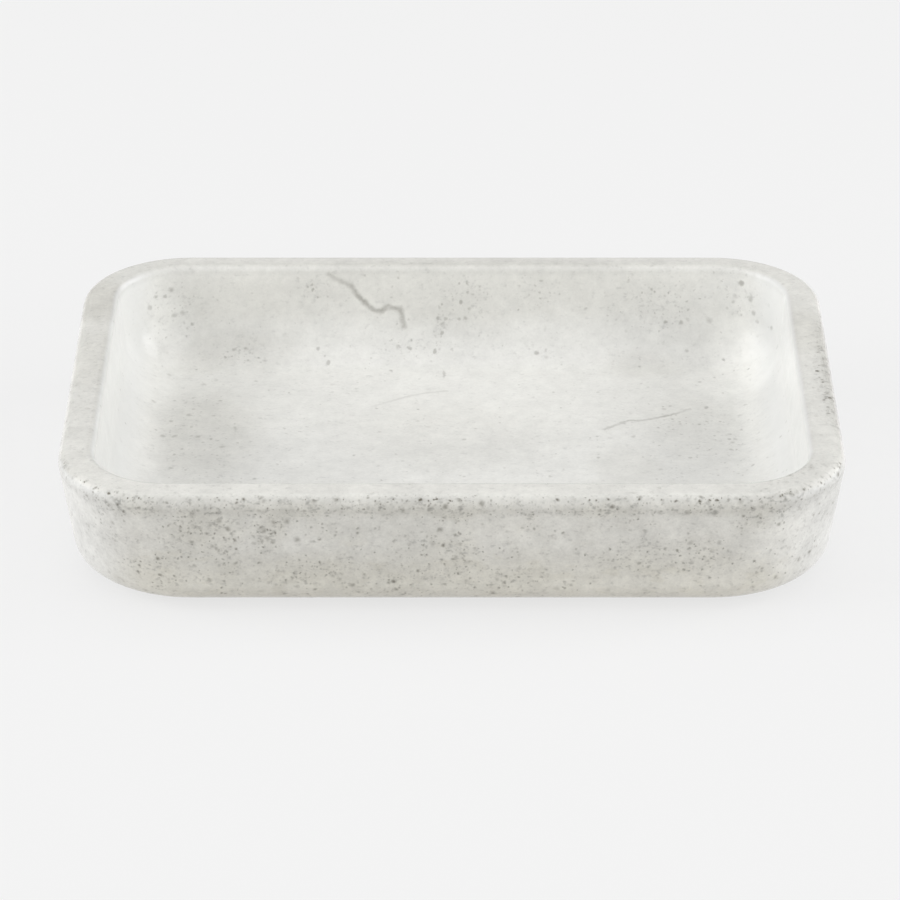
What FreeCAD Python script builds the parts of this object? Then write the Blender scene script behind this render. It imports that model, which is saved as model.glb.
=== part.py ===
import FreeCAD, Part
import Sketcher
import math
import os

# A rectangular soap dish, cast in one piece in glazed ceramic, on four anti-slip pads.
# Millimetres. X runs along the dish, Y towards its rear and Z up. The origin lies under
# the middle of the dish, on the surface that the pads stand on.

# Driving dimensions

SIZES = {
    # Outside of the dish
    "dish_length": 130.5,          # over the rim before its edge is rounded
    "dish_width": 98.5,            # likewise, front to rear
    "dish_height": 21.3,           # underside to the inner edge of the rim, likewise
    "base_inset": 2.8,             # how far each wall leans in from rim to underside
    "rim_corner_radius": 18.7,     # plan radius of the corners at the rim
    "base_corner_radius": 19.8,    # plan radius of the corners at the underside
    "base_rounding": 5.0,          # round between wall and underside
    # Rim
    "rim_width": 6.2,              # outer face to the wall of the well
    "rim_fall": 0.3,               # the rim sheds water: drop from inner to outer edge
    "rim_outer_rounding": 2.0,
    "rim_inner_rounding": 1.2,
    # Well
    "floor_thickness": 4.5,
    "well_lean": 1.8,              # how far the well's wall leans in from rim to floor
    "well_floor_rounding": 9.0,    # cove between wall and floor
    # Anti-slip pads and their seats
    "pad_diameter": 10.0,
    "pad_thickness": 1.6,
    "pad_edge_bevel": 0.3,
    "pad_margin": 11.0,            # edge of the flat underside to the centre of a pad
    "seat_depth": 0.6,
    "seat_clearance": 0.2,         # gap round a pad in its seat
}

PADS = {
    "pad_front_left": (-1, -1),
    "pad_front_right": (1, -1),
    "pad_rear_left": (-1, 1),
    "pad_rear_right": (1, 1),
}

doc = FreeCAD.newDocument("SoapDish")
sheet = doc.addObject("Spreadsheet::Sheet", "Sizes")
for row, (alias, value) in enumerate(SIZES.items(), start=1):
    sheet.set(f"A{row}", alias)
    sheet.set(f"B{row}", str(value))
    sheet.setAlias(f"B{row}", alias)
doc.recompute()


# Distances that several features share, written once in the sheet's names

PAD_STAND = "(Sizes.pad_thickness - Sizes.seat_depth)"
SEAT_DIAMETER = "(Sizes.pad_diameter + 2 * Sizes.seat_clearance)"
PAD_X = "(Sizes.dish_length / 2 - Sizes.base_inset - Sizes.base_rounding - Sizes.pad_margin)"
PAD_Y = "(Sizes.dish_width / 2 - Sizes.base_inset - Sizes.base_rounding - Sizes.pad_margin)"


# Sketches

START, END, CENTRE = 1, 2, 3
ORIGIN = (-1, 1)
TOUCH = 0.001


def base_plane_sketch(body, name, height=None):
    """A sketch on the body's horizontal plane, raised by an expression."""
    plane = next(f for f in body.Origin.OriginFeatures if f.Role == "XY_Plane")
    sketch = body.newObject("Sketcher::SketchObject", name)
    sketch.AttachmentSupport = [(plane, "")]
    sketch.MapMode = "FlatFace"
    if height:
        sketch.setExpression("AttachmentOffset.Base.z", height)
    return sketch


def dimension(sketch, name, expression, kind, *where):
    """A named dimension of the sketch, bound to the sheet."""
    index = sketch.addConstraint(Sketcher.Constraint(kind, *where))
    sketch.renameConstraint(index, name)
    sketch.setExpression(f"Constraints.{name}", expression)


def rounded_rectangle(body, name, height, inset, radius):
    """The dish's outline, moved inwards all round, with its own corner radius."""
    sketch = base_plane_sketch(body, name, height)
    corner = sheet.rim_corner_radius
    x = sheet.dish_length / 2 - corner
    y = sheet.dish_width / 2 - corner
    up = FreeCAD.Vector(0, 0, 1)
    arcs = []
    for quarter, (right, rear) in enumerate([(1, 1), (-1, 1), (-1, -1), (1, -1)]):
        circle = Part.Circle(FreeCAD.Vector(right * x, rear * y, 0), up, corner)
        turn = quarter * math.pi / 2
        arcs.append(sketch.addGeometry(Part.ArcOfCircle(circle, turn, turn + math.pi / 2)))
    sides = []
    for arc, following in zip(arcs, arcs[1:] + arcs[:1]):
        ends = sketch.getPoint(arc, END), sketch.getPoint(following, START)
        side = sketch.addGeometry(Part.LineSegment(*ends))
        sketch.addConstraint(Sketcher.Constraint("Tangent", arc, END, side, START))
        sketch.addConstraint(Sketcher.Constraint("Tangent", side, END, following, START))
        sides.append(side)
    rear_side, left_side, front_side, right_side = sides
    for side in (rear_side, front_side):
        sketch.addConstraint(Sketcher.Constraint("Horizontal", side))
    for side in (left_side, right_side):
        sketch.addConstraint(Sketcher.Constraint("Vertical", side))
    for arc in arcs[1:]:
        sketch.addConstraint(Sketcher.Constraint("Equal", arcs[0], arc))
    sketch.addConstraint(Sketcher.Constraint("Symmetric", arcs[0], CENTRE, arcs[2], CENTRE, *ORIGIN))
    dimension(sketch, "Length", f"Sizes.dish_length - 2 * {inset}",
              "DistanceX", left_side, START, right_side, START, 2 * (x + corner))
    dimension(sketch, "Width", f"Sizes.dish_width - 2 * {inset}",
              "DistanceY", front_side, START, rear_side, START, 2 * (y + corner))
    dimension(sketch, "Corner", radius, "Radius", arcs[0], corner)
    return sketch


def circle_sketch(body, name, diameter, x=0, y=0):
    """One circle, its centre where the two expressions put it, or at the origin."""
    sketch = base_plane_sketch(body, name)
    up = FreeCAD.Vector(0, 0, 1)
    circle = sketch.addGeometry(Part.Circle(FreeCAD.Vector(0, 0, 0), up, sheet.pad_diameter / 2))
    sketch.addConstraint(Sketcher.Constraint("Coincident", circle, CENTRE, *ORIGIN))
    dimension(sketch, "Diameter", diameter, "Diameter", circle, sheet.pad_diameter)
    if x or y:
        sketch.setExpression("AttachmentOffset.Base.x", x)
        sketch.setExpression("AttachmentOffset.Base.y", y)
    return sketch


# Features

def loft(body, kind, name, first, last):
    """Straight walls from one outline to another, added to the body or cut from it."""
    feature = body.newObject(f"PartDesign::{kind}", name)
    feature.Profile = first
    feature.Sections = [last]
    feature.Ruled = True
    doc.recompute()


def edges_on(feature, outline):
    """Names of the feature's edges that lie on a sketched outline."""
    names = []
    for number, edge in enumerate(feature.Shape.Edges, start=1):
        middle = edge.valueAt((edge.FirstParameter + edge.LastParameter) / 2)
        if outline.Shape.distToShape(Part.Vertex(middle))[0] < TOUCH:
            names.append(f"Edge{number}")
    return names


def rounded(body, name, outline, radius):
    """A round along every edge of the body that lies on an outline."""
    before = body.Tip
    feature = body.newObject("PartDesign::Fillet", name)
    feature.Base = (before, edges_on(before, outline))
    feature.setExpression("Radius", radius)
    doc.recompute()


def new_body(label, x=0, y=0, z=0):
    """A body that stands where three expressions put it."""
    body = doc.addObject("PartDesign::Body", label)
    body.Label = label
    for axis, place in (("x", x), ("y", y), ("z", z)):
        if place:
            body.setExpression(f"Placement.Base.{axis}", place)
    return body


# The dish

dish = new_body("dish", z=PAD_STAND)

base_outline = rounded_rectangle(
    dish, "BaseOutline", None, "Sizes.base_inset", "Sizes.base_corner_radius")
rim_outline = rounded_rectangle(
    dish, "RimOutline", "Sizes.dish_height - Sizes.rim_fall", "0", "Sizes.rim_corner_radius")
well_mouth = rounded_rectangle(
    dish, "WellMouth", "Sizes.dish_height", "Sizes.rim_width",
    "Sizes.rim_corner_radius - Sizes.rim_width")
well_floor = rounded_rectangle(
    dish, "WellFloor", "Sizes.floor_thickness", "(Sizes.rim_width + Sizes.well_lean)",
    "Sizes.rim_corner_radius - Sizes.rim_width")
doc.recompute()

loft(dish, "AdditiveLoft", "Walls", base_outline, rim_outline)
loft(dish, "AdditiveLoft", "RimSlope", rim_outline, well_mouth)
loft(dish, "SubtractiveLoft", "Well", well_mouth, well_floor)

rounded(dish, "WellCove", well_floor,
        "min(Sizes.well_floor_rounding; Sizes.rim_corner_radius - Sizes.rim_width)")
rounded(dish, "RimInnerEdge", well_mouth, "Sizes.rim_inner_rounding")
rounded(dish, "RimOuterEdge", rim_outline, "Sizes.rim_outer_rounding")
rounded(dish, "LowerEdge", base_outline, "Sizes.base_rounding")

for pad_name, (right, rear) in PADS.items():
    seat = circle_sketch(dish, f"{pad_name}_seat", SEAT_DIAMETER,
                         f"{right} * {PAD_X}", f"{rear} * {PAD_Y}")
    pocket = dish.newObject("PartDesign::Pocket", f"{pad_name}_pocket")
    pocket.Profile = seat
    pocket.Reversed = True
    pocket.setExpression("Length", "Sizes.seat_depth")
    doc.recompute()


# The anti-slip pads

bodies = [dish]
for pad_name, (right, rear) in PADS.items():
    pad = new_body(pad_name, x=f"{right} * {PAD_X}", y=f"{rear} * {PAD_Y}")
    outline = circle_sketch(pad, f"{pad_name}_outline", "Sizes.pad_diameter")
    disc = pad.newObject("PartDesign::Pad", f"{pad_name}_disc")
    disc.Profile = outline
    disc.setExpression("Length", "Sizes.pad_thickness")
    doc.recompute()
    bevel = pad.newObject("PartDesign::Chamfer", f"{pad_name}_bevel")
    bevel.Base = (disc, edges_on(disc, outline))
    bevel.setExpression("Size", "Sizes.pad_edge_bevel")
    bodies.append(pad)
doc.recompute()


# Checks, then one file for each piece

for thing in doc.Objects:
    faults = {"Invalid", "Error"} & set(thing.State)
    if faults:
        raise RuntimeError(f"{thing.Label} could not be built: {sorted(faults)}")
for body in bodies:
    shape = body.Shape
    if shape.isNull() or not shape.isValid() or len(shape.Solids) != 1:
        raise RuntimeError(f"{body.Label} is not one valid solid")

os.makedirs("parts", exist_ok=True)
for body in bodies:
    body.Shape.exportStep(f"parts/{body.Label}.step")
    box = body.Shape.BoundBox
    print(f"{body.Label}: {box.XLength:.2f} x {box.YLength:.2f} x {box.ZLength:.2f} mm,",
          f"z {box.ZMin:.2f} to {box.ZMax:.2f}, {body.Shape.Volume / 1000:.2f} cm3")
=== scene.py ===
# %% [markdown]
# # A soap dish in glazed ceramic
# The dish is one thick piece of ceramic with a shallow well, and it stands on four small
# pads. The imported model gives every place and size, and this script gives the finish.
# Everything is in metres: X runs along the dish, Y to its rear and Z up.

# %% The frame
import math

import bmesh
import bpy
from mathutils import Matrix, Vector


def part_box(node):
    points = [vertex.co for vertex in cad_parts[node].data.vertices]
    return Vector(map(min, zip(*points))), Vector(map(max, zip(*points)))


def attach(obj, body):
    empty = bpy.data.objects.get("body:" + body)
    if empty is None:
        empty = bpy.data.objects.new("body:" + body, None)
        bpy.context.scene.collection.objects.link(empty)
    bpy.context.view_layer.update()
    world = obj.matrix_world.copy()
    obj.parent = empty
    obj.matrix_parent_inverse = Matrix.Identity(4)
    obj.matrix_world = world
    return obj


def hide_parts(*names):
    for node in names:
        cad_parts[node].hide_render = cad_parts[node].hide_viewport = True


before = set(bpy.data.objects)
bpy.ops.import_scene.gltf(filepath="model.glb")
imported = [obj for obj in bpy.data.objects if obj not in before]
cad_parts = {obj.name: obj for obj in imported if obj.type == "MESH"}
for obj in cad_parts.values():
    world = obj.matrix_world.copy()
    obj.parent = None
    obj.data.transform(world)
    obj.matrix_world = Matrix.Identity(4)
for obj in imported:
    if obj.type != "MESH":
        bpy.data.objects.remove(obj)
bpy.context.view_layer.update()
MM = 0.001
dish_low, dish_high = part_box("dish")
pad_names = [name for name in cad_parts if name.startswith("pad_")]
print("dish from", tuple(dish_low), "to", tuple(dish_high), "on", len(pad_names), "pads")

# %% [markdown]
# ## The camera
# The photograph looks down on the dish at 26 degrees, square on to its front, with a
# long lens. So the camera is placed by that angle and a distance from its target, a point
# near the middle of the dish, and needs no constraint to aim it.

# %% The camera
CAMERA_ELEVATION = 26.04         # degrees
CAMERA_DISTANCE = 827.7 * MM
CAMERA_TARGET = (-0.28 * MM, 0.0, 6.85 * MM)
CAMERA_LENS = 192.5              # focal length in millimetres

rise = math.radians(CAMERA_ELEVATION)
camera = bpy.data.objects.new("camera", bpy.data.cameras.new("camera"))
bpy.context.scene.collection.objects.link(camera)
camera.data.lens = CAMERA_LENS
camera.location = (CAMERA_TARGET[0],
                   CAMERA_TARGET[1] - CAMERA_DISTANCE * math.cos(rise),
                   CAMERA_TARGET[2] + CAMERA_DISTANCE * math.sin(rise))
camera.rotation_euler = (math.pi / 2 - rise, 0, 0)
bpy.context.scene.camera = camera
bpy.context.scene.view_settings.view_transform = "Standard"
print("camera at", tuple(camera.location))

# %% [markdown]
# ## Tools for modelling
# An operator works on all that is selected, so each step first selects the faces or
# edges it needs by their place. Their numbers would serve too, but change with every
# edit. These helpers do it in edit mode.

# %% Selecting by place
def deselect_everything():
    """Leaves nothing selected, so that an operator can't touch another piece."""
    for thing in bpy.context.selected_objects:
        thing.select_set(False)
    bpy.context.view_layer.objects.active = None


def select_only(piece):
    """Leaves one piece selected and active."""
    deselect_everything()
    piece.select_set(True)
    bpy.context.view_layer.objects.active = piece


def select_parts(piece, kind, test):
    """In edit mode, selects the verts, edges or faces that pass a test, and no others."""
    mesh = bmesh.from_edit_mesh(piece.data)
    for group in (mesh.verts, mesh.edges, mesh.faces):
        for part in group:
            part.select = False
    chosen = [part for part in getattr(mesh, kind) if test(part)]
    for part in chosen:
        part.select = True
    mesh.select_flush_mode()
    bmesh.update_edit_mesh(piece.data)
    return len(chosen)


def at_height(height, spare=0.02 * MM):
    """A test for an edge or a face that lies level at one height."""
    return lambda part: all(abs(v.co.z - height) < spare for v in part.verts)


print("selecting tools are ready")

# %% [markdown]
# ## The dish
# The real dish is cast and glazed, so every edge is soft. It could be carved from a block
# with booleans, but edges rounded by hand in edit mode give a cleaner surface. The
# underside and the rim are two rounded plates, bridged by the walls. The rim is inset
# from the upper plate, and the well is inset once more and lowered.

# %% Sizes of the dish
EDGE_LOSS = 0.26 * MM            # what the rounded outer edge takes off the widest line
TOP_LOSS = 0.06 * MM             # what the rounded inner edge takes off the highest line
LENGTH = dish_high.x - dish_low.x + 2 * EDGE_LOSS
WIDTH = dish_high.y - dish_low.y + 2 * EDGE_LOSS
UNDERSIDE = dish_low.z
RIM_TOP = dish_high.z + TOP_LOSS
RIM_FALL = 0.3 * MM              # how far the rim slopes down to its outer edge
RIM_WIDTH = 6.2 * MM
RIM_CORNER = 18.7 * MM           # radius of the corners, seen from above, at the rim
BASE_CORNER = 19.8 * MM          # and at the underside
BASE_INSET = 2.8 * MM            # how far the walls lean in from rim to underside
WELL_LEAN = 1.8 * MM             # how far the well's walls lean in from rim to floor
FLOOR_THICKNESS = 4.5 * MM
WELL_COVE = 9.0 * MM             # radius of the round between the well's wall and floor
RIM_INNER_ROUNDING = 1.2 * MM
RIM_OUTER_ROUNDING = 2.0 * MM
BASE_ROUNDING = 5.0 * MM
CORNER_SEGMENTS = 20
SEAT_GAP = 0.2 * MM              # between a pad and the wall of its seat
print("sharp outline", LENGTH, WIDTH, "rim top", RIM_TOP)


# %% Two rounded plates
def add_rounded_plate(length, width, corner, height):
    """Adds a level plate with round corners to the mesh that is in edit mode."""
    bpy.ops.mesh.primitive_plane_add(size=1, location=(0, 0, height))
    bpy.ops.transform.resize(value=(length, width, 1), center_override=(0, 0, height))
    bpy.ops.mesh.bevel(offset=corner, segments=CORNER_SEGMENTS, affect="VERTICES", profile=0.5)


deselect_everything()
bpy.ops.mesh.primitive_plane_add(size=1)
dish = bpy.context.active_object
dish.name = dish.data.name = "glazed_dish"
bpy.ops.object.mode_set(mode="EDIT")
bpy.ops.mesh.select_all(action="SELECT")
bpy.ops.mesh.delete(type="VERT")
rim_line = RIM_TOP - RIM_FALL
add_rounded_plate(LENGTH, WIDTH, RIM_CORNER, rim_line)
add_rounded_plate(LENGTH - 2 * BASE_INSET, WIDTH - 2 * BASE_INSET, BASE_CORNER, UNDERSIDE)
select_parts(dish, "edges", lambda e: True)
bpy.ops.mesh.bridge_edge_loops()
print("walls:", len(bmesh.from_edit_mesh(dish.data).faces), "faces")

# %% The rim and the well
well_floor = UNDERSIDE + FLOOR_THICKNESS
select_parts(dish, "faces", at_height(rim_line))
bpy.ops.mesh.inset(thickness=RIM_WIDTH, depth=0)
bpy.ops.transform.translate(value=(0, 0, RIM_FALL))
bpy.ops.mesh.inset(thickness=WELL_LEAN, depth=0)
bpy.ops.transform.translate(value=(0, 0, well_floor - RIM_TOP))
bpy.ops.mesh.select_all(action="SELECT")
bpy.ops.mesh.normals_make_consistent(inside=False)
print("with the well:", len(bmesh.from_edit_mesh(dish.data).faces), "faces")

# %% [markdown]
# ### Rounded edges
# Glaze never covers a sharp edge, so all four level edges are round. A bevel modifier
# would round them all alike. The operator takes one edge at a time, and starts at a
# distance from it that follows from the radius and the angle between the two faces.

# %% Rounded edges
def round_edge(height, radius, angle, segments):
    """Rounds the level edges at one height, where two faces meet at an angle in degrees."""
    count = select_parts(dish, "edges", at_height(height))
    reach = radius / math.tan(math.radians(angle) / 2)
    bpy.ops.mesh.bevel(offset=reach, segments=segments, affect="EDGES", profile=0.5)
    print(f"rounded {count} edges at {height / MM:.1f} mm by {radius / MM:.1f} mm")


round_edge(well_floor, WELL_COVE, angle=96.0, segments=16)
round_edge(RIM_TOP, RIM_INNER_ROUNDING, angle=93.0, segments=6)
round_edge(rim_line, RIM_OUTER_ROUNDING, angle=85.0, segments=10)
round_edge(UNDERSIDE, BASE_ROUNDING, angle=98.0, segments=12)
bpy.ops.object.mode_set(mode="OBJECT")

# %% [markdown]
# ### Seats for the pads
# Each pad stands in a shallow round seat in the underside. The seats could be inset and
# lowered in the mesh, but one boolean with four joined cylinders, placed by the pads'
# own boxes, is exact and quick.

# %% Cutters for the seats
SEAT_SIDES = 64
seat_cutters = []
for name in pad_names:
    pad_low, pad_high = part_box(name)
    middle = (pad_low + pad_high) / 2
    deselect_everything()
    bpy.ops.mesh.primitive_cylinder_add(
        vertices=SEAT_SIDES, radius=(pad_high.x - pad_low.x) / 2 + SEAT_GAP,
        depth=2 * (pad_high.z - UNDERSIDE), location=(middle.x, middle.y, UNDERSIDE))
    seat_cutters.append(bpy.context.active_object)
select_only(seat_cutters[0])
for cutter in seat_cutters:
    cutter.select_set(True)
bpy.ops.object.join()
cutter = bpy.context.active_object
print("cutters:", len(seat_cutters), "joined into", len(cutter.data.polygons), "faces")

# %% Seats for the pads
select_only(dish)
seats = dish.modifiers.new("seats", "BOOLEAN")
seats.operation = "DIFFERENCE"
seats.solver = "EXACT"
seats.object = cutter
bpy.ops.object.modifier_apply(modifier=seats.name)
bpy.data.objects.remove(cutter)
print("seats cut, dish now", len(dish.data.polygons), "faces")

# %% [markdown]
# ### Smooth shading
# Smooth shading hides the facets of the rounds, while the seats, whose edges are sharper
# than the limit, stay crisp. Shading normals weighted by area keep the large flat faces
# looking flat right up to their rounded edges. The finished dish then stands for the
# packed one.

# %% Smooth shading
SHARP_FROM = 40                  # degrees between two faces
select_only(dish)
bpy.ops.object.shade_smooth_by_angle(angle=math.radians(SHARP_FROM))
weighted = dish.modifiers.new("even_shading", "WEIGHTED_NORMAL")
weighted.keep_sharp = True
bpy.ops.object.modifier_apply(modifier=weighted.name)
print("dish:", len(dish.data.polygons), "faces")
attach(dish, "root")
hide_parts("dish")

# %% [markdown]
# ## Materials
# Shader maths is easier to read as an expression. This class holds one output of a
# node tree, and arithmetic on it adds the Math nodes.

# %% Shader maths in words
class Shade:
    """One output of a node tree, used like a number."""

    def __init__(self, tree, socket):
        self.tree, self.socket = tree, socket

    def node(self, kind, settings=None, inputs=None, output=0):
        """Adds any node and returns one of its outputs."""
        made = self.tree.nodes.new(kind)
        for name, value in (settings or {}).items():
            setattr(made, name, value)
        for name, value in (inputs or {}).items():
            if isinstance(value, Shade):
                self.tree.links.new(value.socket, made.inputs[name])
            else:
                made.inputs[name].default_value = value
        return Shade(self.tree, made.outputs[output])

    def maths(self, operation, *values):
        """Adds a Math node on some values."""
        return self.node("ShaderNodeMath", {"operation": operation}, dict(enumerate(values)))

    def __add__(self, other):
        return self.maths("ADD", self, other)

    def __mul__(self, other):
        return self.maths("MULTIPLY", self, other)

    def __sub__(self, other):
        return self.maths("SUBTRACT", self, other)

    def __rsub__(self, other):
        return self.maths("SUBTRACT", other, self)

    __radd__ = __add__
    __rmul__ = __mul__


def vector(operation, *values, output=0):
    """Vector maths on places in a pattern."""
    settings = {"operation": operation}
    return values[0].node("ShaderNodeVectorMath", settings, dict(enumerate(values)), output)


TO_MILLIMETRES = (1000, 1000, 1000)


def start_material(name, settings):
    """A new material: its shader, with constants set, and the place in millimetres."""
    material = bpy.data.materials.new(name)
    material.use_nodes = True
    tree = material.node_tree
    shader = tree.nodes["Principled BSDF"]
    for socket, value in settings.items():
        shader.inputs[socket].default_value = value
    place = Shade(tree, tree.nodes.new("ShaderNodeTexCoord").outputs["Object"])
    return material, shader, vector("MULTIPLY", place, TO_MILLIMETRES)


def feed(shader, socket, shade):
    """Links a shade to a socket of the shader."""
    shade.tree.links.new(shade.socket, shader.inputs[socket])


print("shader tools are ready")

# %% [markdown]
# ## The glaze
# The real dish looks like a pale limestone: soft warm and cool clouds, a fine mottle,
# many small dark pits that gather in groups, and a few hairline veins, all under a clear
# gloss. An image could show that, but a pattern made from noise in real millimetres
# follows every side of the dish and has no seams. First come the tools: soft blotches,
# a smooth step, a soft spot with a place and a reach, a relief, and a place that noise
# moves about, so that what is looked up there has no even outline.

# %% Tools for patterns
def blotches(place, size, detail=2.0, fineness=0.55):
    """Soft noise about zero, with blotches of a size in millimetres."""
    noise = place.node("ShaderNodeTexNoise", inputs={
        "Vector": place, "Scale": 1 / size, "Detail": detail, "Roughness": fineness})
    return noise - 0.5


def soften(value, start, end):
    """A smooth step from 0 at the start to 1 at the end."""
    return value.node("ShaderNodeMapRange", {"interpolation_type": "SMOOTHSTEP"},
                      {"Value": value, "From Min": start, "From Max": end})


def spot(place, centre, reach):
    """1 in the middle of a soft spot, 0 beyond its reach along each axis."""
    away = vector("DIVIDE", vector("SUBTRACT", place, centre), reach)
    return soften(vector("LENGTH", away, output="Value"), 1.0, 0.3)


FIRST_COLOUR, SECOND_COLOUR, MIXED_COLOUR = 6, 7, 2      # sockets of the Mix node


def blend(factor, first, second):
    """Mixes two colours."""
    return factor.node("ShaderNodeMix", {"data_type": "RGBA"},
                       {"Factor": factor, FIRST_COLOUR: first, SECOND_COLOUR: second},
                       output=MIXED_COLOUR)


def axis(place, letter):
    """How far a place lies along X, Y or Z."""
    return place.node("ShaderNodeSeparateXYZ", inputs={"Vector": place}, output=letter)


def bumped(relief):
    """The surface's normal, bent by a relief in millimetres."""
    return relief.node("ShaderNodeBump", inputs={"Height": relief, "Distance": MM},
                       output="Normal")


def moved_about(place, scale, reach):
    """A place moved by noise, over a reach in millimetres."""
    noise = place.node("ShaderNodeTexNoise", inputs={
        "Vector": place, "Scale": scale, "Detail": 1.0}, output="Color")
    noise = vector("SUBTRACT", noise, (0.5, 0.5, 0.5))
    return vector("ADD", place, vector("MULTIPLY", noise, (reach, reach, reach)))


print("pattern tools are ready")

# %% The shader, and two places moved about
glaze, glaze_shader, place = start_material("stone_glaze", {
    "IOR": 1.5,
})
dish.data.materials.append(glaze)
bent_place = moved_about(place, scale=0.35, reach=2.4)       # for wide, soft areas
frayed_place = moved_about(place, scale=1.1, reach=0.7)      # for pits and veins
print("glaze started:", len(glaze.node_tree.nodes), "nodes")

# %% [markdown]
# ### Rim, outside and well
# The glaze pools in the well, where it is palest, and is thinner on the rim and outside,
# where the stone colour shows. Masks could be painted on the mesh, but two measures tell
# the zones apart all round: the height, and the distance outwards from a rectangle
# through the centres of the four corners.

# %% Rim, outside and well
WELL_MOUTH = (RIM_CORNER - RIM_WIDTH) / MM       # distance outwards of the well's edge
RIM_END = RIM_CORNER / MM                        # and of the rim's outer edge
TOP = RIM_TOP / MM
CORNER_CENTRE = ((LENGTH / 2 - RIM_CORNER) / MM, (WIDTH / 2 - RIM_CORNER) / MM, 0.0)
flat_place = vector("ABSOLUTE", vector("MULTIPLY", place, (1.0, 1.0, 0.0)))
beyond = vector("MAXIMUM", vector("SUBTRACT", flat_place, CORNER_CENTRE), (0.0, 0.0, 0.0))
outwards = vector("LENGTH", beyond, output="Value")
height = axis(place, "Z")
past_well = soften(outwards, WELL_MOUTH, WELL_MOUTH + 0.8)
on_top = soften(height, TOP - 1.4, TOP - 0.6)
rim = past_well * on_top
outside = past_well * (1 - on_top)
print(f"the rim lies from {WELL_MOUTH:.1f} to {RIM_END:.1f} mm outwards")

# %% [markdown]
# ### Edges, foot and ends
# Glaze runs off an edge before it sets. So the rim's outer edge is dark and pitted, most
# of all at the front. Its inner edge is darkened, as painted shade that dims the bright
# line the lamps give its rounding, and the foot is lightened, as painted light from a pale
# table below. The walls at the two ends are cleaner than the long ones. Steps in the same
# two measures, multiplied, mark each of these.

# %% Edges, foot and ends
front_side = soften(axis(place, "Y"), -28.0, -42.0)
edge = (soften(outwards, RIM_END - 2.0, RIM_END - 0.9)
        * soften(height, TOP - 4.2, TOP - 2.4) * (0.4 + 0.6 * front_side))
# Painted light: the foot is lightened for the light that a pale table below throws up on it.
foot_painted_light = outside * soften(height, 6.0, 2.0)
# Painted shade: the well's inner edge is darkened, to dim the bright line the lamps give its
# rounding.
inner_edge_painted_shade = soften(outwards.maths("ABSOLUTE", outwards - WELL_MOUTH), 1.4, 0.4)
inner_edge_painted_shade = inner_edge_painted_shade * soften(height, TOP - 2.0, TOP - 1.0)
across = axis(flat_place, "X")
end_wall = (1 - past_well) * soften(across, 52.0, 57.0)
end_outside = outside * soften(across, 50.0, 60.0)
print("with its masks:", len(glaze.node_tree.nodes), "nodes")

# %% [markdown]
# ### Where the pits gather
# Noise alone would spread the pits evenly, and on the real dish they come in groups. So
# loose noise and a list of places make some areas crowded and leave others clean. The
# outside is more crowded than the well, and the rim's outer edge most of all.

# %% Crowded places
CROWDED = (   # centre, reach in millimetres, how crowded
    # along the front
    ((-52, -46, 20), (9, 6, 3), 0.5),
    ((-40, -48, 16), (9, 5, 6), 0.8),
    ((-29.5, -48, 16), (4, 5, 5), 0.7),
    ((-27, -49, 20.5), (12, 3, 3), 0.5),
    ((-10, -49, 20.5), (12, 3, 3), 0.4),
    ((0.5, -49, 20.3), (7, 4, 3), 0.9),
    ((25, -49, 20), (7, 4, 2.5), 0.6),
    ((41, -49, 20.5), (10, 3, 2.5), 0.5),
    ((51, -47, 19), (7, 6, 5), 0.5),
    ((-48, -46, 8), (8, 6, 6), 0.5),
    ((-24, -47, 8.5), (9, 5, 4.5), 0.5),
    ((-1, -48, 11.5), (9, 5, 5), 0.45),
    ((0, -47, 7), (26, 5, 4), 0.3),
    ((34, -48, 11), (17, 5, 5), 0.45),
    # right side and front corner of the rim, then its left side
    ((65, -3, 21), (4.5, 34, 4), 1.6),
    ((57, -40, 21.5), (12, 10, 4), 0.35),
    ((60, -44, 20.5), (7, 7, 4), -0.5),
    ((-60, -20, 22), (6, 36, 4), 0.15),
    # rear wall of the well and the cove below it
    ((-50, 41, 15), (7, 5, 6), 0.4),
    ((-24, 43, 18.5), (5, 3, 4), 0.4),
    ((3, 42.5, 16.5), (5, 3, 6), 0.5),
    ((16, 42.5, 17), (5, 3, 5), 0.4),
    ((36, 42, 15), (10, 3, 8), 0.5),
    ((50, 41, 17), (6, 6, 5), 0.4),
    ((-38, 39, 7), (8, 4, 2.5), 0.6),
    ((-8, 40, 8), (11, 4, 2), 0.5),
    ((-2, 42, 9.5), (2, 3, 6), 0.5),
    # floor of the well, then one more place on its rear wall
    ((-43, 8, 5.5), (13, 26, 4), 0.17),
    ((42, 8, 5.5), (14, 22, 4), 0.17),
    ((-1.3, 42, 13.5), (1.6, 3, 6), 0.5),
)


def add_spots(total, spots):
    """Adds a list of soft spots to a value."""
    for centre, reach, amount in spots:
        total = total + amount * spot(bent_place, centre, reach)
    return total


loose = soften(blotches(place, 8.0), -0.08, 0.2)
clumps = soften(blotches(place, 3.0), -0.06, 0.2)
crowding = (0.03 + 0.2 * loose * clumps + outside * (0.04 + 0.35 * loose)
            + edge * (0.3 + 0.4 * clumps))
crowding = add_spots(crowding, CROWDED)
crowding = crowding.node("ShaderNodeClamp", inputs={"Value": crowding})
print("crowded places:", len(CROWDED))

# %% [markdown]
# ### Clouds, mottle and sand
# Noise of several sizes gives the stone its look: wide clouds, and a mottle that is as
# strong in millimetre grains as in centimetre patches. Fine noise, drawn out a little
# from left to right, passes a threshold only at its peaks, and these are the sand
# grains. Crowded places lower the threshold. All of this is stronger outside, under thin
# glaze, than at the ends of the well.

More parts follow.
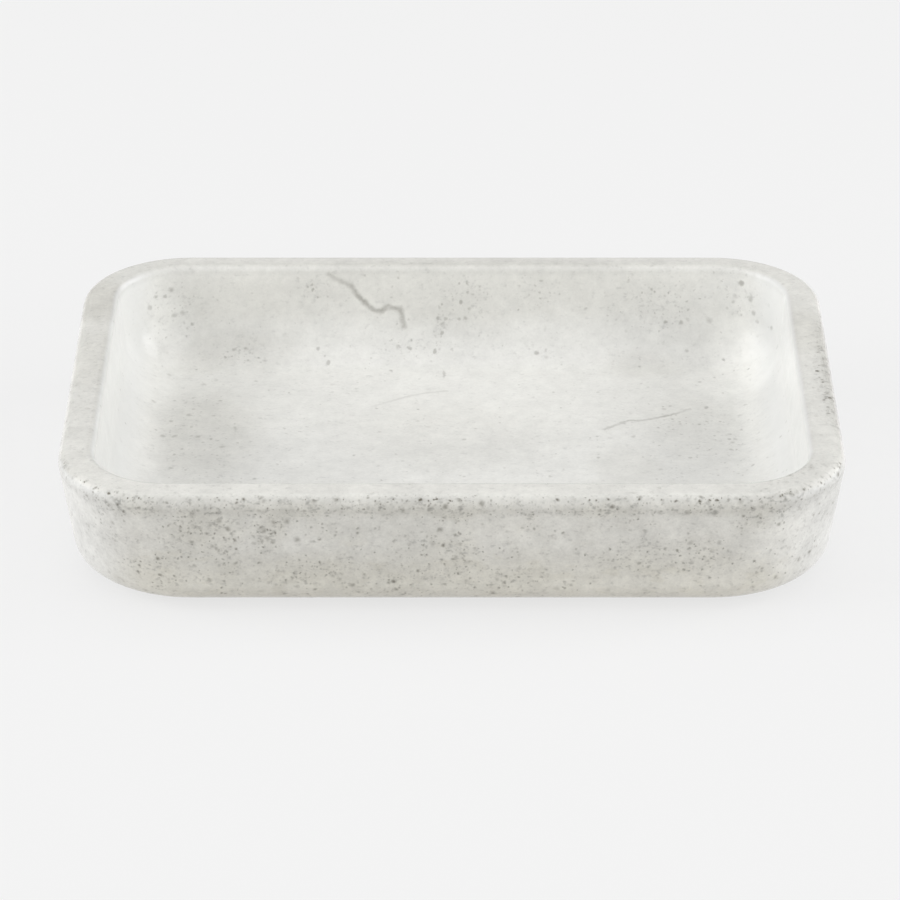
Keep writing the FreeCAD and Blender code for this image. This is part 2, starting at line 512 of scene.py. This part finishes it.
# %% Clouds, mottle and sand
clouds = blotches(place, 18.0)
mottle = blotches(place, 5.0, detail=4.0, fineness=0.95)
sand = blotches(vector("MULTIPLY", place, (0.75, 1.0, 1.0)), 0.85)
grains = soften(sand + 0.06 * crowding, 0.06, 0.34)
contrast = 1.0 + 0.25 * rim + 0.75 * outside - 0.75 * end_wall
tone = (0.16 * clouds + 0.36 * contrast * mottle
        - (0.13 * contrast + 0.12 * crowding) * grains + 0.04)
print("with its mottle:", len(glaze.node_tree.nodes), "nodes")

# %% [markdown]
# ### Lighter and darker zones
# Each zone is a little lighter or darker than the floor of the well. Small stains lie
# low on the outside. Every zone could have a colour ramp of its own, but small steps
# added to one tone are easier to set. A second list of places makes wide areas darker,
# or lighter where its number is below zero.

# %% Zones and stains
tone = tone - 0.09 * rim - 0.02 * outside - 0.05 * end_wall - 0.02 * end_outside
tone = tone - 0.06 * edge - 0.05 * inner_edge_painted_shade + 0.12 * foot_painted_light - 0.06 * crowding
stains = blotches(vector("MULTIPLY", place, (0.5, 1.0, 1.2)), 2.6, detail=3.0)
stains = outside * soften(height, 19.0, 6.0) * soften(stains, 0.02, 0.22)
tone = tone - 0.06 * stains
print("with its zones and stains:", len(glaze.node_tree.nodes), "nodes")

# %% Darker areas
# Most of these are darker stone. The lighter places at the front right corner and in the rear
# corners of the well are painted light.
DARK_AREAS_AND_PAINTED_LIGHT = (   # centre, reach in millimetres, how much darker
    ((-43, 8, 5.5), (13, 26, 4), 0.10),      # floor, left
    ((42, 12, 5.5), (11, 20, 4), 0.04),      # floor, right
    ((30, -4, 5.5), (9, 12, 4), 0.06),       # floor, right, nearer the front
    ((-38, 42, 12), (18, 5, 12), 0.04),      # rear wall, left half
    ((0, 43, 19), (75, 5, 9), 0.08),         # rear wall, all along its top
    ((65, -36, 15), (6, 10, 8), 0.10),       # outside, right side near the front
    # painted reflection: lighter for a bright surface mirrored in this corner from its right
    # front
    ((57, -47, 13), (9, 7, 9), -0.15),       # outside, front right corner
    ((0, -47, 9.5), (62, 5, 4.5), 0.04),     # front, low
    ((2, -48, 18), (14, 5, 4), 0.04),        # front, high in the middle
    ((-32, -47, 14), (12, 5, 4), -0.04),     # front, left
    ((66, -2, 21), (4, 36, 4), 0.10),        # rim, outer edge on the right
    # painted reflection of the panels in the rear right corner of the well
    ((52, 38, 9), (10, 9, 6), -0.12),        # cove, rear right corner
    ((-38, 39, 7), (16, 6, 4), 0.06),        # cove, rear left
    ((34, 37, 6), (11, 7, 3), 0.06),         # cove, rear right
    ((0, 8, 5.5), (26, 20, 3), 0.05),        # floor, middle
    ((-62, 29, 22), (6, 14, 4), 0.14),       # rim, left, towards the rear
    ((-62, 5, 22), (6, 16, 4), 0.07),        # rim, left
    ((61, 16, 22), (6, 13, 4), 0.09),        # rim, right
    ((0, 42, 12), (16, 4, 4), 0.03),         # rear wall, middle
    # painted reflection of the panels: the next five lighter places, in the rear corners of
    # the well
    ((51, 29, 6.5), (11, 12, 5), -0.09),     # floor, rear right corner
    ((55, 30, 8), (6, 10, 6), -0.05),        # cove, right
    ((-56, 31, 9), (5, 8, 4), -0.03),        # cove, left
    ((49, 42, 15), (8, 5, 8), -0.06),        # rear wall, right end
    ((-51, 41, 12), (6, 5, 8), -0.05),       # rear wall, left end
    ((-45, 36, 6.5), (8, 5, 3), 0.05),       # cove, rear left corner
)
darker_and_painted_light = add_spots(0.0, DARK_AREAS_AND_PAINTED_LIGHT)
tone = tone - darker_and_painted_light
print("darker areas:", len(DARK_AREAS_AND_PAINTED_LIGHT))

# %% [markdown]
# ### Pits
# Gas leaves small dark pits in the glaze. They could be drawn one by one, but there are
# hundreds. A Voronoi texture splits the stone into small cells, each with one point and
# one random colour. The colour decides whether the cell has a pit, how wide it is and
# how dark, and crowding sets the share of cells that have one. The frayed place gives
# the pits their uneven outlines. Three layers of cells give three sizes.

# %% Pits
outer = outside.maths("MAXIMUM", outside, edge)


def pits(spacing, radius, share, in_well):
    """Soft pits in a share of the cells, up to a radius in millimetres."""
    cells = place.node("ShaderNodeTexVoronoi", inputs={
        "Vector": frayed_place, "Scale": 1 / spacing})
    colour = Shade(cells.tree, cells.socket.node.outputs["Color"])
    parts = colour.node("ShaderNodeSeparateColor", inputs={"Color": colour})
    chance, width, depth = (Shade(parts.tree, out) for out in parts.socket.node.outputs)
    present = soften(chance - share, 0.04, -0.04)
    reach = (0.4 + 0.6 * width) * (radius / spacing)
    shape = soften(cells.maths("DIVIDE", cells, reach), 1.0, 0.05)
    strength = in_well + (1.35 - in_well) * outer + 1.1 * rim * crowding
    return shape * present * (0.12 + 0.1 * crowding + 0.42 * depth) * strength


wide_pits = pits(spacing=2.1, radius=0.85, share=crowding - 0.3 * edge, in_well=0.9)
pit_mask = wide_pits
for spacing, radius, in_edge, in_well in ((1.2, 0.57, 0.1, 1.0), (0.7, 0.38, 0.6, 0.5)):
    fine_pits = pits(spacing, radius, 1.3 * crowding + in_edge * edge, in_well)
    pit_mask = pit_mask.maths("MAXIMUM", pit_mask, fine_pits)
print("with its pits:", len(glaze.node_tree.nodes), "nodes")

# %% [markdown]
# ### Single marks
# A few marks in the well are larger than the pits round them, and the eye finds them
# first. Noise can't be told where to put them, so each is a small spot of its own, given
# by its place, its reach and how dark it is.

# %% Single marks
MARKS = (   # centre, reach in millimetres, how dark
    ((-53.9, 39.7, 15.8), (0.8, 0.8, 0.8), 0.30),
    ((-51.3, 41.5, 17.2), (0.6, 0.6, 0.6), 0.35),
    ((51.7, 41.6, 19.6), (0.8, 0.8, 0.8), 0.50),
    ((53.4, 40.3, 17.2), (0.7, 0.7, 1.0), 0.30),
    ((53.9, 39.6, 14.8), (0.8, 0.8, 0.7), 0.30),
    ((48.7, 37.2, 6.7), (0.4, 0.6, 0.4), 0.45),
    ((15.2, 38.5, 7.4), (0.6, 0.7, 0.6), 0.40),
    ((-3.0, 38.8, 7.6), (0.6, 0.7, 0.6), 0.45),
    ((-22.0, 36.8, 6.3), (0.6, 0.8, 0.6), 0.40),
    ((-24.0, 39.2, 7.9), (0.5, 0.6, 0.6), 0.35),
    ((44.8, 19.8, 5.5), (0.5, 1.0, 0.5), 0.35),
    ((-1.3, 33.4, 5.5), (0.4, 2.0, 0.6), 0.30),
    ((-2.4, 42.0, 12.7), (0.6, 0.6, 0.6), 0.35),
    ((-1.1, 42.0, 12.5), (0.5, 0.6, 0.5), 0.30),
    ((-1.7, 41.0, 10.2), (0.5, 0.5, 0.5), 0.45),
    ((1.7, 42.3, 15.6), (0.5, 0.5, 0.5), 0.50),
    ((-7.5, 39.3, 8.0), (0.5, 0.6, 0.5), 0.45),
    ((41.2, 41.7, 11.9), (0.6, 0.6, 0.6), 0.35),
)
for centre, reach, amount in MARKS:
    pit_mask = pit_mask.maths("MAXIMUM", pit_mask, amount * spot(frayed_place, centre, reach))
print("single marks:", len(MARKS))

# %% [markdown]
# ### Veins
# Three hairline veins cross the well. A stretched texture would repeat them all over, so
# each one is a line through a few points. The distance to the nearest piece of the line
# gives a thin dark streak. The frayed place and the mottle keep it from looking drawn,
# and it fades towards its first point.

# %% Veins
WALL_VEIN = ((-22, 42.9, 20.9), (-20.5, 42.8, 19.9), (-18, 42.7, 18.8), (-16.9, 42.5, 17),
             (-14.1, 42.2, 14.2), (-12.6, 42.1, 14), (-11.4, 42.2, 14.9), (-9.2, 42.2, 14.2),
             (-8.5, 41.5, 11.2))
FLOOR_VEIN = ((41.9, 19.1, 5.5), (39.3, 17.3, 5.5), (36.4, 15.8, 5.5), (33.5, 14.6, 5.5),
              (31, 14.6, 5.5), (29.1, 13.1, 5.5), (26.6, 10.9, 5.5))
FAINT_VEIN = ((-13.9, 20.2, 5.5), (-8.1, 24.1, 5.5), (-4.3, 25.9, 5.5), (-0.8, 26.6, 5.5))


def vein(points, width, amount):
    """A soft line through some points, with a width in millimetres."""
    nearest = None
    for start, end in zip(points, points[1:]):
        along = [b - a for a, b in zip(start, end)]
        length_squared = sum(step * step for step in along)
        from_start = vector("SUBTRACT", frayed_place, start)
        share = vector("DOT_PRODUCT", from_start, along, output="Value") * (1 / length_squared)
        share = share.node("ShaderNodeClamp", inputs={"Value": share})
        on_line = share.node("ShaderNodeVectorMath", {"operation": "SCALE"},
                             {0: along, "Scale": share})
        distance = vector("DISTANCE", from_start, on_line, output="Value")
        nearest = distance if nearest is None else nearest.maths("MINIMUM", nearest, distance)
    faded = 1 - 0.45 * spot(bent_place, points[0], (5, 5, 5))
    return soften(nearest, width / 2, 0.0) * faded * amount * (0.9 + 2.5 * mottle)


veins = vein(WALL_VEIN, width=1.7, amount=0.66)
for points, width, amount in ((FLOOR_VEIN, 1.1, 0.5), (FAINT_VEIN, 1.1, 0.27)):
    veins = veins.maths("MAXIMUM", veins, vein(points, width, amount))
print("with its veins:", len(glaze.node_tree.nodes), "nodes")

# %% [markdown]
# ### Colour, gloss and relief
# So far the pattern only says how light the stone is. Its colour is warmer low on the
# outside, where pits crowd and in the dark areas, and cooler at the two ends. A colour
# for each zone would show a border where two meet, so warm and cool stone are mixed in
# by soft amounts. Veins and pits come last. The gloss is a little duller on the rim and
# in the pits. The relief is slight, since a thick glaze levels itself: a gentle wave and
# shallow pits.

# %% Colour, gloss and relief of the glaze
STONE = (0.80, 0.797, 0.767, 1)
WARM_STONE = (0.80, 0.785, 0.72, 1)
COOL_STONE = (0.79, 0.795, 0.785, 1)
PIT_COLOUR = (0.16, 0.15, 0.12, 1)
VEIN_COLOUR = (0.33, 0.32, 0.29, 1)
brightness = 1.0 + tone
warmth = 0.05 + 0.6 * soften(height, 13.0, 5.0) + 0.5 * crowding + 0.6 * stains
warmth = (outside - end_outside) * warmth + 0.35 * rim + 3.0 * darker_and_painted_light
stone = blend(warmth, STONE, WARM_STONE)
stone = blend(0.8 * end_wall + 0.6 * end_outside, stone, COOL_STONE)
stone = vector("MULTIPLY", stone, brightness)
veined = blend(veins, stone, VEIN_COLOUR)
feed(glaze_shader, "Base Color", blend(pit_mask, veined, PIT_COLOUR))
feed(glaze_shader, "Roughness", 0.15 + 0.07 * past_well + 0.15 * mottle + 0.3 * pit_mask)
relief = 0.02 * blotches(place, 9.0, detail=1.0) - 0.04 * wide_pits
feed(glaze_shader, "Normal", bumped(relief))
print("glaze:", len(glaze.node_tree.nodes), "nodes")

# %% [markdown]
# ## The pads
# Each pad is a soft disc of milky rubber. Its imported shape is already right, so it only
# gets a material: matt, a little uneven in colour, and slightly grainy.

# %% Pads
PAD_COLOUR = (0.72, 0.73, 0.73)
pad_material, pad_shader, pad_place = start_material("milky_pad", {
    "IOR": 1.45,
})
pad_tone = 1.0 + 0.12 * blotches(pad_place, 2.0) + 0.08 * blotches(pad_place, 0.4)
feed(pad_shader, "Base Color", pad_tone.node(
    "ShaderNodeVectorMath", {"operation": "SCALE"}, {0: PAD_COLOUR, "Scale": pad_tone}))
feed(pad_shader, "Roughness", 0.55 + 0.3 * blotches(pad_place, 0.8))
feed(pad_shader, "Normal", bumped(0.02 * blotches(pad_place, 0.35)))
for name in pad_names:
    pad_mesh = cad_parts[name].data
    pad_mesh.materials.clear()
    pad_mesh.materials.append(pad_material)
print("pads:", len(pad_material.node_tree.nodes), "nodes")

# %% [markdown]
# ## The floor
# The photograph has an even, near white ground. The camera sees a pale floor, part of
# it glowing so that it stays even, while the light that it throws back on the dish is
# that of a mid-grey table. A floor that only glows would be even too, but would show no
# shadow. It lies a hair below the pads, so that no two faces share a plane.

# %% Floor
FLOOR_SIZE = 4                   # metres
FLOOR_DROP = 0.02 * MM
deselect_everything()
bpy.ops.mesh.primitive_plane_add(size=FLOOR_SIZE, location=(0, 0, -FLOOR_DROP))
floor = bpy.context.active_object
floor.name = floor.data.name = "floor"
floor_material, floor_shader, floor_place = start_material("pale_floor", {
    "Roughness": 1.0,
    "Specular IOR Level": 0.0,
    "Emission Strength": 1.0,
})
floor.data.materials.append(floor_material)
SEEN_COLOUR = (0.20, 0.20, 0.20, 1)
SEEN_GLOW = (0.69, 0.69, 0.69, 1)
BOUNCE_COLOUR = (0.22, 0.215, 0.20, 1)
BOUNCE_GLOW = (0.26, 0.25, 0.235, 1)
ray = floor_place.node("ShaderNodeLightPath", output="Is Camera Ray")
ray_outputs = ray.socket.node.outputs
seen = (ray + Shade(ray.tree, ray_outputs["Is Glossy Ray"])
        + Shade(ray.tree, ray_outputs["Is Transmission Ray"]))
seen = seen.node("ShaderNodeClamp", inputs={"Value": seen})
feed(floor_shader, "Base Color", blend(seen, BOUNCE_COLOUR, SEEN_COLOUR))
feed(floor_shader, "Emission Color", blend(seen, BOUNCE_GLOW, SEEN_GLOW))
print("floor", FLOOR_SIZE, "m wide")

# %% [markdown]
# ## The light
# A pale sky and wide panels light the dish plainly, mostly from both sides. One strong
# lamp would do it too, but with a hard shadow. Mirrored in the glaze, the panels at the
# sides and the front would turn the rim white in a view from the side, so reflections
# don't show them. Two more panels do the reverse. They light nothing, and only show as
# the soft bright patches in the rear corners of the well.

# %% Light
SKY_STRENGTH = 0.45
PANEL_DISTANCE = 1.0             # metres from the origin
world = bpy.data.worlds.new("studio")
bpy.context.scene.world = world
world.use_nodes = True
world.node_tree.nodes["Background"].inputs["Color"].default_value = (1, 1, 1, 1)
world.node_tree.nodes["Background"].inputs["Strength"].default_value = SKY_STRENGTH


def softbox(name, turn, height, size, power, lights=True, in_gloss=True):
    """An area light, placed by its turn from the front and its height, both in degrees."""
    light = bpy.data.lights.new(name, "AREA")
    light.shape = "RECTANGLE"
    light.size, light.size_y = size
    light.energy = power
    holder = bpy.data.objects.new(name, light)
    bpy.context.scene.collection.objects.link(holder)
    turn, height = math.radians(turn), math.radians(height)
    holder.location = (PANEL_DISTANCE * math.sin(turn) * math.cos(height),
                       -PANEL_DISTANCE * math.cos(turn) * math.cos(height),
                       PANEL_DISTANCE * math.sin(height))
    aim = -holder.location
    holder.rotation_euler = aim.to_track_quat("-Z", "Y").to_euler()
    holder.visible_diffuse = lights
    holder.visible_glossy = in_gloss


softbox("left", turn=275, height=17, size=(1.1, 0.55), power=6.3, in_gloss=False)
softbox("right", turn=84, height=17, size=(1.15, 0.55), power=4.8, in_gloss=False)
softbox("front", turn=36, height=20, size=(0.8, 0.5), power=1.6, in_gloss=False)
softbox("upper left", turn=278, height=33, size=(0.5, 0.25), power=1.1, in_gloss=False)
softbox("upper right", turn=96, height=33, size=(0.5, 0.25), power=1.1, in_gloss=False)
softbox("seen left", turn=270, height=37, size=(0.8, 0.75), power=3.1, lights=False)
softbox("seen right", turn=110, height=26, size=(1.0, 0.8), power=4.9, lights=False)
softbox("overhead", turn=180, height=88, size=(1.0, 1.0), power=2.1)
print("lights:", len(bpy.data.lights))
